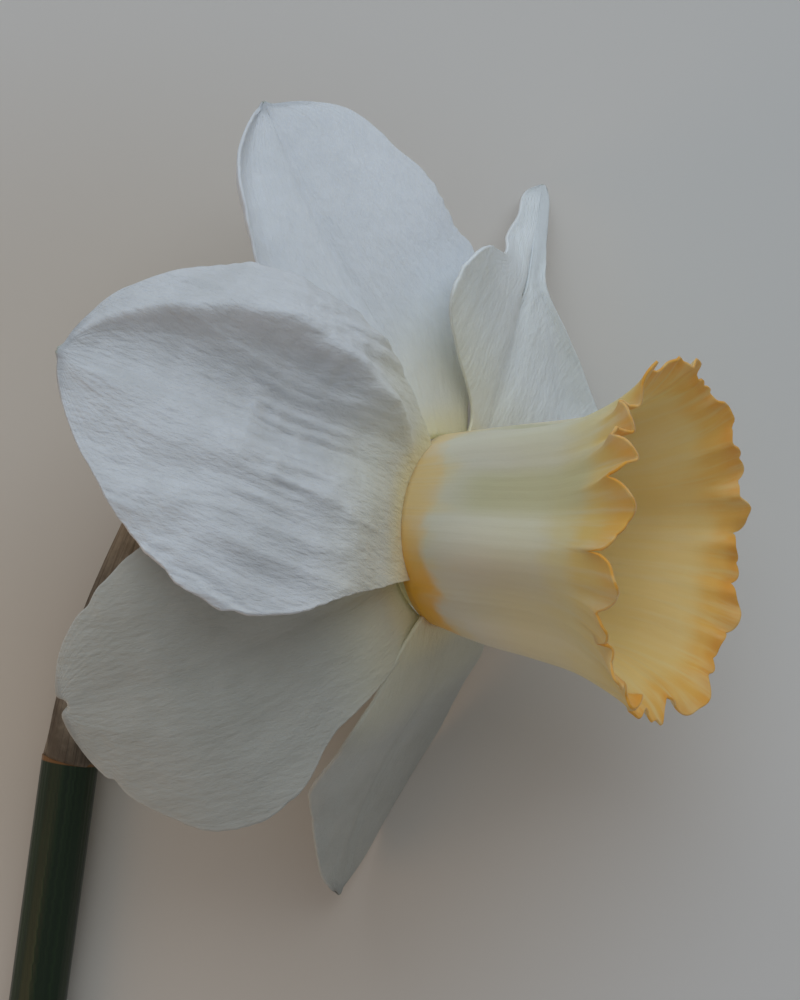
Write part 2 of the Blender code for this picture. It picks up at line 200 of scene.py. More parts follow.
def smooth_noise(u, v, seed, wrap_u=None):
    """Seeded smooth noise from -1 to 1 on a lattice; wrap_u makes it repeat in u."""
    size = 128
    lattice = np.random.default_rng(seed).uniform(-1, 1, (size, size))
    low_u, low_v = np.floor(u).astype(int), np.floor(v).astype(int)
    fu, fv = u - low_u, v - low_v
    fu, fv = fu * fu * (3 - 2 * fu), fv * fv * (3 - 2 * fv)
    period = wrap_u or size
    u0, u1 = low_u % period, (low_u + 1) % period
    v0, v1 = low_v % size, (low_v + 1) % size
    near = lattice[u0, v0] * (1 - fu) + lattice[u1, v0] * fu
    far = lattice[u0, v1] * (1 - fu) + lattice[u1, v1] * fu
    return near * (1 - fv) + far * fv


def bump_at(x, centre, width):
    return np.exp(-((x - centre) / width) ** 2)


cos_rise, sin_rise = math.cos(TRUMPET_RISE), math.sin(TRUMPET_RISE)
cos_turn, sin_turn = math.cos(TRUMPET_TURN), math.sin(TRUMPET_TURN)
trumpet_axis = np.array([cos_rise * cos_turn, cos_rise * sin_turn, sin_rise])
flower_axes = np.array([[-sin_turn, -sin_rise * cos_turn, trumpet_axis[0]],
                        [cos_turn, -sin_rise * sin_turn, trumpet_axis[1]],
                        [0.0, cos_rise, trumpet_axis[2]]])
ovary_box = np.array(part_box("ovary"))
ring_centre = ovary_box.mean(axis=0) + OVARY_TO_RING * trumpet_axis


def from_flower(points, turn_degrees=0.0):
    """Places points of the flower's frame in the world, after a turn about the trumpet's axis."""
    angle = math.radians(turn_degrees)
    about = np.array([[math.cos(angle), -math.sin(angle), 0], [math.sin(angle), math.cos(angle), 0],
                      [0, 0, 1]])
    return points @ (flower_axes @ about).T + ring_centre


def surface(name, points, closed=False, pattern=None):
    """A mesh over a grid of points, with its lengthways and crossways place kept on it.

    pattern gives the UV place of each point; without it UV is (crossways, lengthways).
    """
    rows, columns = points.shape[:2]
    row, column = np.meshgrid(np.arange(rows - 1), np.arange(columns if closed else columns - 1),
                              indexing="ij")
    beside = (column + 1) % columns
    faces = np.stack([row * columns + column, row * columns + beside,
                      (row + 1) * columns + beside, (row + 1) * columns + column], -1).reshape(-1, 4)
    mesh = bpy.data.meshes.new(name)
    mesh.from_pydata(points.reshape(-1, 3).tolist(), [], faces.tolist())
    along, across = np.meshgrid(np.linspace(0, 1, rows), np.linspace(0, 1, columns, endpoint=not closed),
                                indexing="ij")
    for label, values in (("along", along), ("across", across)):
        mesh.attributes.new(label, "FLOAT", "POINT").data.foreach_set("value", values.ravel())
    corner = np.empty(len(mesh.loops), int)
    mesh.loops.foreach_get("vertex_index", corner)
    u = across.ravel()[corner]
    if closed:
        u = (np.stack([column, column + 1, column + 1, column], -1) / columns).reshape(-1)
    flat = np.stack([u, along.ravel()[corner]], -1) if pattern is None else pattern.reshape(-1, 2)[corner]
    layer = mesh.uv_layers.new(name="blade")
    layer.data.foreach_set("uv", flat.astype(np.float32).ravel())
    mesh.shade_smooth()
    return new_object(name, mesh)


def new_object(name, mesh):
    piece = bpy.data.objects.new(name, mesh)
    bpy.context.scene.collection.objects.link(piece)
    return piece


def thicken(piece, thickness, inner_slot=0, rim_slot=0, offset=0.0):
    shell = piece.modifiers.new("thickness", "SOLIDIFY")
    shell.thickness = thickness
    shell.offset = offset
    shell.use_even_offset = False
    shell.material_offset = inner_slot
    shell.material_offset_rim = rim_slot


def close_ends(piece, near=None):
    """Caps a piece's open ends: all of them, or only the one round the place near."""
    work = bmesh.new()
    work.from_mesh(piece.data)
    rim = [edge for edge in work.edges if edge.is_boundary]
    if near is None:
        bmesh.ops.holes_fill(work, edges=rim, sides=0)
    else:
        reach = 2 * STEM_RADIUS
        rim = [edge for edge in rim
               if all(np.linalg.norm(np.array(vert.co) - near) < reach for vert in edge.verts)]
        bmesh.ops.edgeloop_fill(work, edges=rim)
    bmesh.ops.recalc_face_normals(work, faces=work.faces)
    work.to_mesh(piece.data)
    work.free()


def tube(name, path, radii, sides, section):
    """A shaped bar along a path; section gives the outline's relative radius by angle."""
    path = np.asarray(path, float)
    heading = unit(np.gradient(path, axis=0))
    helper = np.array([0.0, 0.0, 1.0]) if abs(heading[:, 2]).max() < 0.9 else np.array([0.0, 1.0, 0.0])
    side = unit(np.cross(heading, helper))
    up = np.cross(side, heading)
    angle = np.arange(sides) * FULL_TURN / sides
    radii = np.asarray(radii)[:, None, None]
    ring = np.cos(angle)[None, :, None] * side[:, None] + np.sin(angle)[None, :, None] * up[:, None]
    points = path[:, None] + radii * section(angle)[None, :, None] * ring
    piece = surface(name, points, closed=True)
    close_ends(piece)
    piece.data.shade_smooth()
    return piece


# ---- Geometry Nodes trees -------------------------------
def tree_with(name, sizes):
    """A node tree with a geometry input and output, a Material input and the given named sizes."""
    tree = bpy.data.node_groups.new(name, "GeometryNodeTree")
    face = tree.interface
    face.new_socket("Geometry", in_out="INPUT", socket_type="NodeSocketGeometry")
    for label, value in sizes.items():
        kind = "NodeSocketInt" if isinstance(value, int) else "NodeSocketFloat"
        face.new_socket(label, in_out="INPUT", socket_type=kind).default_value = value
    face.new_socket("Material", in_out="INPUT", socket_type="NodeSocketMaterial")
    face.new_socket("Geometry", in_out="OUTPUT", socket_type="NodeSocketGeometry")
    return tree, tree.nodes.new("NodeGroupInput"), tree.nodes.new("NodeGroupOutput")


def add(tree, kind, inputs=None, **settings):
    """Adds a node with its settings, and links or sets its inputs."""
    made = tree.nodes.new(kind)
    for label, value in settings.items():
        setattr(made, label, value)
    for label, value in (inputs or {}).items():
        socket = made.inputs[label]
        if isinstance(value, bpy.types.NodeSocket):
            tree.links.new(value, socket)
        else:
            socket.default_value = value
    return made


def maths(tree, operation, first, second=0.0, third=0.0):
    return add(tree, "ShaderNodeMath", {0: first, 1: second, 2: third}, operation=operation).outputs[0]


def finish_tree(tree, group_in, group_out, geometry):
    solid = add(tree, "GeometryNodeRealizeInstances", {"Geometry": geometry})
    coated = add(tree, "GeometryNodeSetMaterial",
                 {"Geometry": solid.outputs[0], "Material": group_in.outputs["Material"]})
    tree.links.new(coated.outputs[0], group_out.inputs[0])
    return tree


def raised_veins_tree():
    """Fine ribs that run lengthways over a surface, fading towards its base."""
    tree, group_in, group_out = tree_with("raised_veins", {"Veins": 20, "Depth": 0.00003, "Wander": 0.05})
    across = add(tree, "GeometryNodeInputNamedAttribute", {"Name": "across"}, data_type="FLOAT").outputs[0]
    along = add(tree, "GeometryNodeInputNamedAttribute", {"Name": "along"}, data_type="FLOAT").outputs[0]
    position = add(tree, "GeometryNodeInputPosition").outputs[0]
    noise = add(tree, "ShaderNodeTexNoise", {"Vector": position, "Scale": 180.0, "Detail": 2.0}).outputs[0]
    wander = maths(tree, "MULTIPLY", maths(tree, "SUBTRACT", noise, 0.5), group_in.outputs["Wander"])
    turns = maths(tree, "MULTIPLY", maths(tree, "ADD", across, wander), group_in.outputs["Veins"])
    wave = maths(tree, "COSINE", maths(tree, "MULTIPLY", turns, 2 * math.pi))
    fade = add(tree, "ShaderNodeMapRange", {"Value": along, "From Min": 0.0, "From Max": 0.25}).outputs[0]
    height = maths(tree, "MULTIPLY", maths(tree, "MULTIPLY", wave, fade), group_in.outputs["Depth"])
    normal = add(tree, "GeometryNodeInputNormal").outputs[0]
    offset = add(tree, "ShaderNodeVectorMath", {0: normal, "Scale": height}, operation="SCALE").outputs[0]
    moved = add(tree, "GeometryNodeSetPosition", {"Geometry": group_in.outputs["Geometry"], "Offset": offset})
    return finish_tree(tree, group_in, group_out, moved.outputs[0])


def ribbed_stalk_tree():
    """A stalk along a curve: an oval section with shallow ribs that run its whole length."""
    tree, group_in, group_out = tree_with(
        "ribbed_stalk", {"Radius": 0.0036, "Flatness": 0.94, "Ribs": 14, "Rib Depth": 0.03, "Taper": 0.95})
    circle = add(tree, "GeometryNodeCurvePrimitiveCircle", {"Resolution": 96, "Radius": 1.0}).outputs[0]
    place = add(tree, "GeometryNodeInputPosition").outputs[0]
    index = add(tree, "GeometryNodeInputIndex").outputs[0]
    angle = maths(tree, "MULTIPLY", maths(tree, "DIVIDE", index, 96.0), 2 * math.pi)
    wave = maths(tree, "COSINE", maths(tree, "MULTIPLY", angle, group_in.outputs["Ribs"]))
    swell = maths(tree, "MULTIPLY_ADD", wave, group_in.outputs["Rib Depth"], 1.0)
    radius = maths(tree, "MULTIPLY", swell, group_in.outputs["Radius"])
    scaled = add(tree, "ShaderNodeVectorMath", {0: place, "Scale": radius}, operation="SCALE").outputs[0]
    flat = add(tree, "ShaderNodeCombineXYZ",
               {"X": 1.0, "Y": group_in.outputs["Flatness"], "Z": 1.0}).outputs[0]
    oval = add(tree, "ShaderNodeVectorMath", {0: scaled, 1: flat}, operation="MULTIPLY").outputs[0]
    profile = add(tree, "GeometryNodeSetPosition", {"Geometry": circle, "Position": oval}).outputs[0]
    parameter = add(tree, "GeometryNodeSplineParameter").outputs["Factor"]
    taper = add(tree, "ShaderNodeMapRange", {"Value": parameter, "To Min": 1.0,
                                             "To Max": group_in.outputs["Taper"]}).outputs[0]
    line = add(tree, "GeometryNodeSetCurveRadius", {"Curve": group_in.outputs["Geometry"], "Radius": taper})
    skin = add(tree, "GeometryNodeCurveToMesh", {"Curve": line.outputs[0], "Profile Curve": profile})
    smooth = add(tree, "GeometryNodeSetShadeSmooth", {"Geometry": skin.outputs[0]})
    return finish_tree(tree, group_in, group_out, smooth.outputs[0])


def grains_tree():
    """Small round grains scattered over a surface, such as pollen on an anther."""
    tree, group_in, group_out = tree_with(
        "surface_grains", {"Grain Radius": 0.00012, "Grains Per Area": 6.0e6, "Seed": 1})
    points = add(tree, "GeometryNodeDistributePointsOnFaces",
                 {"Mesh": group_in.outputs["Geometry"], "Density": group_in.outputs["Grains Per Area"],
                  "Seed": group_in.outputs["Seed"]})
    grain = add(tree, "GeometryNodeMeshIcoSphere", {"Radius": group_in.outputs["Grain Radius"],
                                                    "Subdivisions": 1}).outputs[0]
    size = add(tree, "FunctionNodeRandomValue", {2: 0.6, 3: 1.3, "Seed": 7}, data_type="FLOAT").outputs[1]
    copies = add(tree, "GeometryNodeInstanceOnPoints",
                 {"Points": points.outputs["Points"], "Instance": grain, "Scale": size})
    both = add(tree, "GeometryNodeJoinGeometry")
    tree.links.new(copies.outputs[0], both.inputs[0])
    tree.links.new(group_in.outputs["Geometry"], both.inputs[0])
    return finish_tree(tree, group_in, group_out, both.outputs[0])


def grow(piece, tree, finish, **sizes):
    """Runs a node tree on a piece and keeps the result as a plain mesh."""
    growth = piece.modifiers.new(tree.name, "NODES")
    growth.node_group = tree
    for item in tree.interface.items_tree:
        if item.in_out != "INPUT":
            continue
        if item.name == "Material":
            growth[item.identifier] = finish
        elif item.name in sizes:
            growth[item.identifier] = sizes[item.name]
    evaluated = piece.evaluated_get(bpy.context.evaluated_depsgraph_get())
    mesh = bpy.data.meshes.new_from_object(evaluated)
    name = piece.name
    old = piece.data
    bpy.data.objects.remove(piece)
    if isinstance(old, bpy.types.Mesh):
        bpy.data.meshes.remove(old)
    else:
        bpy.data.curves.remove(old)
    mesh.name = name
    return new_object(name, mesh)


# ---- Finishes -------------------------------------------
def finish(name):
    made = bpy.data.materials.new(name)
    made.use_nodes = True
    tree = made.node_tree
    return made, tree, tree.nodes["Principled BSDF"]


def blend(tree, amount, first, second):
    """A colour between two others; sockets 6 and 7 are the two colours, output 2 is the result."""
    mix = add(tree, "ShaderNodeMix", {"Factor": amount}, data_type="RGBA", blend_type="MIX")
    for socket, value in ((mix.inputs[6], first), (mix.inputs[7], second)):
        if isinstance(value, bpy.types.NodeSocket):
            tree.links.new(value, socket)
        else:
            socket.default_value = (*value, 1)
    return mix.outputs[2]


def ramp(tree, value, stops):
    """A smooth ramp of colours, or of greys where a stop is one number."""
    node = add(tree, "ShaderNodeValToRGB", {"Fac": value})
    band = node.color_ramp
    band.interpolation = "EASE"
    while len(band.elements) < len(stops):
        band.elements.new(0.5)
    for element, (place, colour) in zip(band.elements, stops):
        element.position = place
        rgb = (colour,) * 3 if isinstance(colour, (int, float)) else colour
        element.color = (*rgb, 1)
    return node.outputs[0]


def noise(tree, vector, scale, detail=4.0, roughness=0.55):
    return add(tree, "ShaderNodeTexNoise", {"Vector": vector, "Scale": scale, "Detail": detail,
                                            "Roughness": roughness}).outputs[0]


def stretched(tree, vector, factors):
    return add(tree, "ShaderNodeVectorMath", {0: vector, 1: factors}, operation="MULTIPLY").outputs[0]


def bump(tree, shader, height, distance, strength=1.0, below=None):
    inputs = {"Height": height, "Distance": distance, "Strength": strength}
    if below is not None:
        inputs["Normal"] = below
    made = add(tree, "ShaderNodeBump", inputs).outputs[0]
    tree.links.new(made, shader.inputs["Normal"])
    return made


def coordinates(tree):
    """Place on the object, place on the surface, and the surface's two coordinates one by one."""
    node = tree.nodes.new("ShaderNodeTexCoord")
    split = add(tree, "ShaderNodeSeparateXYZ", {0: node.outputs["UV"]})
    return node.outputs["Object"], node.outputs["UV"], split.outputs[0], split.outputs[1]


def soft_tissue(shader, depth, weight=0.2):
    """Light passes a little way into fresh petal tissue."""
    shader.inputs["Roughness"].default_value = 0.55
    shader.inputs["Subsurface Weight"].default_value = weight
    shader.inputs["Subsurface Radius"].default_value = (1.0, 0.9, 0.75)
    shader.inputs["Subsurface Scale"].default_value = depth
    shader.inputs["Specular IOR Level"].default_value = 0.3
    shader.inputs["Sheen Weight"].default_value = 0.12
    shader.inputs["Sheen Roughness"].default_value = 0.45


def petal_finish(name, white, shade, base_tint, crinkle=0.5):
    """White petal: faint lengthways veins, a tinted base, cool mottling and crepe-like fine wrinkles."""
    made, tree, shader = finish(name)
    place, pattern, _, _ = coordinates(tree)
    across = add(tree, "ShaderNodeAttribute", attribute_name="across").outputs["Fac"]
    along = add(tree, "ShaderNodeAttribute", attribute_name="along").outputs["Fac"]
    blade = add(tree, "ShaderNodeCombineXYZ", {"X": across, "Y": along}).outputs[0]
    vein_lines = noise(tree, stretched(tree, blade, (60.0, 1.6, 1.0)), 1.0, 2.0)
    crepe = noise(tree, stretched(tree, pattern, (75.0, 24.0, 1.0)), 1.0, 4.0, 0.6)
    mottle = noise(tree, place, 110.0, 5.0, 0.6)
    colour = blend(tree, ramp(tree, mottle, [(0.35, 0.0), (0.7, 0.8)]), white, shade)
    colour = blend(tree, ramp(tree, vein_lines, [(0.5, 0.0), (0.8, 0.3)]), colour, shade)
    from_middle = maths(tree, "ABSOLUTE", maths(tree, "SUBTRACT", across, 0.5))
    rib = ramp(tree, from_middle, [(0.0, 0.22), (0.03, 0.0)])
    colour = blend(tree, rib, colour, tuple(0.85 * channel for channel in shade))
    root = ramp(tree, along, [(0.0, 0.9), (0.06, 0.35), (0.22, 0.0)])
    colour = blend(tree, root, colour, base_tint)
    tip = ramp(tree, along, [(0.975, 0.0), (0.997, 0.5)])
    colour = blend(tree, tip, colour, (0.55, 0.62, 0.42))
    margin = ramp(tree, from_middle, [(0.485, 0.0), (0.5, 0.1)])
    colour = blend(tree, margin, colour, (0.86, 0.87, 0.84))
    tree.links.new(colour, shader.inputs["Base Color"])
    roughness = add(tree, "ShaderNodeMapRange", {"Value": mottle, "To Min": 0.42, "To Max": 0.62}).outputs[0]
    fine = bump(tree, shader, vein_lines, 0.00012, 0.5)
    fine = bump(tree, shader, crepe, 0.0005, crinkle, fine)
    bump(tree, shader, noise(tree, place, 2500.0, 2.0), 0.00005, 0.3, fine)
    soft_tissue(shader, 0.0015)
    tree.links.new(roughness, shader.inputs["Roughness"])
    return made


def corona_finish(name, stops, line_colour, line_amount, band=None, valley_painted_shade=None):
    """Trumpet tissue: colour runs from the ring to the lobed mouth, streaked along its flutes.

    band is the base ring's own deeper orange in a narrow crescent, made strongest on one side as painted
    shade;
    valley is painted shade between the flutes, strongest on one side, over the flutes' own deeper tone.
    """
    made, tree, shader = finish(name)
    place, blade, around, along = coordinates(tree)
    patch = noise(tree, place, 160.0, 3.0)
    wobble = maths(tree, "MULTIPLY_ADD", maths(tree, "SUBTRACT", patch, 0.5), 0.14, along)
    streak = noise(tree, stretched(tree, blade, (80.0, 1.4, 1.0)), 1.0, 3.0)
    broad = noise(tree, stretched(tree, blade, (15.0, 1.1, 1.0)), 1.0, 2.0)
    reach = maths(tree, "MULTIPLY_ADD", maths(tree, "SUBTRACT", broad, 0.5), 0.35, wobble)
    colour = ramp(tree, reach, stops)
    lines = maths(tree, "MULTIPLY", ramp(tree, streak, [(0.42, 0.0), (0.7, 1.0)]), line_amount)
    colour = blend(tree, lines, colour, line_colour)
    # painted shade in the flute valleys, on the more shaded side, added to the valleys' own deeper tone
    if valley_painted_shade:
        turns = maths(tree, "MULTIPLY_ADD", around, FULL_TURN * CORONA_RIBS, FLUTE_PHASE)
        swing = maths(tree, "MULTIPLY_ADD", maths(tree, "COSINE", turns), 0.5, 0.5)
        side = ramp(tree, along, [(0.06, 0.0), (0.2, 1.0), (0.6, 1.0), (0.8, 0.0)])
        between = maths(tree, "MULTIPLY", ramp(tree, swing, [(0.05, 0.75), (0.6, 0.0)]), side)
        shaded_side = ramp(tree, around, [(0.22, 1.0), (0.32, 0.3), (0.6, 0.8)])
        colour = blend(tree, maths(tree, "MULTIPLY", between, shaded_side), colour, valley_painted_shade)
        # painted shade: the lower side of the trumpet is tinted warmer and darker, where less light falls
        warm_side_painted_shade = maths(tree, "MULTIPLY", ramp(tree, around, [(0.24, 0.0), (0.38, 0.5), (0.6, 0.3)]),
                          ramp(tree, along, [(0.1, 0.0), (0.3, 1.0)]))
        colour = blend(tree, warm_side_painted_shade, colour, (0.82, 0.67, 0.34))
    # the base ring's deeper orange is the trumpet's own; making it strongest on one side is painted shade
    if band:
        low = ramp(tree, wobble, [(0.0, 1.0), (0.035, 0.85), (0.085, 0.0)])
        shaded_side = ramp(tree, maths(tree, "ABSOLUTE", maths(tree, "SUBTRACT", around, 0.42)),
                        [(0.06, 1.0), (0.22, 0.25), (0.5, 0.2)])
        colour = blend(tree, maths(tree, "MULTIPLY", low, shaded_side), colour, band)
    tree.links.new(colour, shader.inputs["Base Color"])
    roughness = add(tree, "ShaderNodeMapRange", {"Value": patch, "To Min": 0.42, "To Max": 0.6}).outputs[0]
    fine = bump(tree, shader, streak, 0.0002, 0.3)
    bump(tree, shader, noise(tree, place, 2200.0, 2.0), 0.00005, 0.3, fine)
    soft_tissue(shader, 0.0025, 0.33)
    tree.links.new(roughness, shader.inputs["Roughness"])
    return made


def green_finish(name, dark, light, top_tint=None):
    """Waxy green stalk with lengthways streaks and a faint bloom."""
    made, tree, shader = finish(name)
    place, blade, _, along = coordinates(tree)
    streak = noise(tree, stretched(tree, blade, (40.0, 2.0, 1.0)), 1.0, 3.0)
    patch = noise(tree, place, 120.0, 4.0)
    colour = blend(tree, ramp(tree, streak, [(0.35, 0.0), (0.75, 1.0)]), dark, light)
    colour = blend(tree, ramp(tree, patch, [(0.5, 0.0), (0.8, 0.4)]), colour, light)
    if top_tint:
        colour = blend(tree, ramp(tree, along, [(0.0, 1.0), (0.008, 0.95), (0.015, 0.0)]), colour, top_tint)
    tree.links.new(colour, shader.inputs["Base Color"])
    fine = bump(tree, shader, streak, 0.0002, 0.5)
    bump(tree, shader, noise(tree, place, 1800.0, 2.0), 0.00004, 0.3, fine)
    shader.inputs["Roughness"].default_value = 0.42
    shader.inputs["Specular IOR Level"].default_value = 0.4
    shader.inputs["Sheen Weight"].default_value = 0.05
    return made


def sheath_finish():
    """Dry papery sheath: brown and grey-beige, with darker parallel veins."""
    made, tree, shader = finish("dry_papery_sheath")
    place, blade, _, along = coordinates(tree)
    veins = noise(tree, stretched(tree, blade, (45.0, 2.0, 1.0)), 1.0, 3.0)
    patch = noise(tree, place, 220.0, 5.0, 0.6)
    colour = blend(tree, ramp(tree, patch, [(0.35, 0.0), (0.7, 1.0)]), (0.10, 0.075, 0.05),
                   (0.26, 0.21, 0.15))
    colour = blend(tree, ramp(tree, veins, [(0.5, 0.0), (0.7, 0.7)]), colour, (0.07, 0.045, 0.028))
    colour = blend(tree, ramp(tree, along, [(0.4, 0.0), (0.75, 0.5)]), colour, (0.42, 0.28, 0.15))
    tree.links.new(colour, shader.inputs["Base Color"])
    fine = bump(tree, shader, veins, 0.0004, 0.8)
    bump(tree, shader, patch, 0.0003, 0.5, fine)
    shader.inputs["Roughness"].default_value = 0.75
    return made


def grain_finish(name, dark, light, scale):
    made, tree, shader = finish(name)
    place, _, _, along = coordinates(tree)
    patch = noise(tree, place, scale, 3.0)
    colour = blend(tree, ramp(tree, patch, [(0.35, 0.0), (0.7, 1.0)]), dark, light)
    tree.links.new(colour, shader.inputs["Base Color"])
    bump(tree, shader, patch, 0.0001, 0.6)
    shader.inputs["Roughness"].default_value = 0.7
    return made


# ---- Petals ---------------------------------------------
def petal_points(shape):
    """The middle surface of one petal, pointing along +X, from base to tip and from left to right.

    Also returns where each point lies on the petal when it is laid out flat.
    """
    s = np.sin(np.linspace(0, 1, shape["rows"] + 1) * math.pi / 2) ** 0.85
    across = np.linspace(-1, 1, shape["columns"] + 1)
    midrib = spline(np.array(shape["midrib"]) * MM, s)
    step = 1e-3
    heading = unit(spline(shape["midrib"], np.minimum(s + step, 1))
                   - spline(shape["midrib"], np.maximum(s - step, 0)))
    side = np.array([0.0, -1.0, 0.0])
    side = unit(side - (heading @ side)[:, None] * heading)
    face = np.cross(side, heading)
    twist = np.radians(spline(shape["twist"], s))[:, None]
    face, side = face * np.cos(twist) + side * np.sin(twist), side * np.cos(twist) - face * np.sin(twist)
    out, along = np.meshgrid(across, s)
    narrowing = np.sqrt(1 - (1 - TIP_WIDTH ** 2) * along ** shape["blunt"])
    for where, sign, depth, width in shape.get("notches", []):
        narrowing = narrowing * (1 - depth * bump_at(along, where, width) * (out * sign > 0))
    seed = shape["seed"]
    margin_side = np.sign(out)
    ragged = 1 + 0.010 * smooth_noise(along * 22, margin_side * 7 + 20, seed)
    ragged += 0.006 * smooth_noise(along * 60, margin_side * 7 + 40, seed)
    half = np.where(out < 0, spline(shape["left"], along), spline(shape["right"], along)) * MM
    half = half * narrowing * ragged
    length = np.concatenate([[0], np.cumsum(np.linalg.norm(np.diff(midrib, axis=0), axis=1))])
    lengthways = np.repeat(length[:, None], out.shape[1], 1)
    pattern = np.stack([0.5 + out * half / FLAT_PATTERN, lengthways / FLAT_PATTERN], -1)
    cup = spline(shape["cup"], along)
    roll = np.where(out < 0, spline(shape.get("roll_left", [0]), along),
                    spline(shape.get("roll_right", [0]), along))
    flat = np.zeros_like(out)
    lift = np.zeros_like(out)
    for number in range(SECTION_STEPS):
        reach = (number + 0.5) / SECTION_STEPS * np.abs(out)
        margin = np.clip((reach - ROLL_FROM) / (1 - ROLL_FROM), 0, 1)
        angle = np.radians(cup * reach + roll * margin)
        flat += np.cos(angle) * np.abs(out) / SECTION_STEPS
        lift += np.sin(angle) * np.abs(out) / SECTION_STEPS
    flat = (flat * half * np.sign(out))[..., None]
    lift = lift * half + petal_relief(shape, along, out, half, narrowing, pattern) * MM
    points = midrib[:, None, :] + flat * side[:, None, :] + lift[..., None] * face[:, None, :]
    point = bump_at(sideways_mm(pattern), 0, 0.7) * np.clip((along - 0.975) / 0.025, 0, 1) ** 2
    hook = heading[:, None, :] + 0.5 * face[:, None, :]
    points += shape.get("mucro", 0.5) * MM * point[..., None] * hook
    near_base = (1 - along) ** BASE_CURVE_POWER
    points[..., 0] += near_base * (BASE_STANDOFF - flat[..., 0] ** 2 / (2 * RING_RADIUS))
    return points, pattern


def sideways_mm(pattern):
    """Distance from the midrib on the flat pattern, in millimetres."""
    return (pattern[..., 0] - 0.5) * FLAT_PATTERN / MM


def petal_relief(shape, along, out, half, narrowing, pattern):
    """Height of the folds, crepe wrinkles and wavy margin over the plain blade, in millimetres."""
    seed = shape["seed"]
    grown = np.clip(along / 0.25, 0, 1) ** 1.5 * narrowing
    relief = np.zeros_like(along)
    for where, width, height, strongest, spread in shape["folds"]:
        relief += height * bump_at(out, where, width) * bump_at(along, strongest, spread)
    relief *= np.clip(half / MM / 9, 0, 1) ** 1.5
    sideways = sideways_mm(pattern) + 30
    lengthways = pattern[..., 1] * FLAT_PATTERN / MM
    bent = sideways + 1.2 * smooth_noise(lengthways / 9 + 5, sideways / 9, seed + 1)
    patches = np.clip(0.55 + 0.8 * smooth_noise(lengthways / 11 + 2, sideways / 9 + 3, seed + 2), 0.08, 1)
    for size, stretch, depth in CREPE_LAYERS:
        wrinkle = smooth_noise(lengthways / (size * stretch) + 9, bent / size, seed + int(size * 10))
        relief += shape["crepe"] * depth * (1 - 2 * np.abs(wrinkle)) * (patches if size < 4 else 1)
    waves = smooth_noise(along * 6 + 3, np.sign(out) + 5, seed + 50)
    relief += 0.6 * np.abs(out) ** 5 * waves
    return relief * grown


def make_petals(veins):
    cool, cool_shade = (0.80, 0.84, 0.89), (0.73, 0.77, 0.82)
    # painted shade: the dim whites darken the low petal and the low sepal, which face away from the lamp; the
    # tissue is the same white as the others
    painted_shade_white, painted_shade_mottle = (0.56, 0.57, 0.53), (0.49, 0.50, 0.46)
    cream = (0.80, 0.74, 0.46)
    finishes = {
        # painted light and shade: the far petal's white is painted lighter and the near petal's darker than
        # the tissue's own white
        "petal_near": petal_finish("near_petal_painted_shade", (0.73, 0.755, 0.79), (0.61, 0.63, 0.65), cream, 0.75),
        "petal_far": petal_finish("far_petal_painted_light", (0.88, 0.93, 0.96), (0.82, 0.87, 0.89), cream),
        "petal_low": petal_finish("low_petal_painted_shade", painted_shade_white, painted_shade_mottle, cream),
        "sepal_top": petal_finish("top_sepal_white", cool, cool_shade, cream),
        "sepal_low": petal_finish("low_sepal_painted_shade", painted_shade_white, painted_shade_mottle, cream),
        "sepal_under": petal_finish("under_sepal_white", (0.72, 0.74, 0.72), (0.64, 0.67, 0.64), cream),
    }
    for name, shape in PETALS.items():
        points, pattern = petal_points(shape)
        blade = surface("fine_" + name, from_flower(points, shape["turn"]), pattern=pattern)
        blade = grow(blade, veins, finishes[name], Veins=PETAL_VEINS, Depth=PETAL_VEIN_DEPTH, Wander=0.05)
        thicken(blade, PETAL_THICKNESS)
        keep(blade, name)


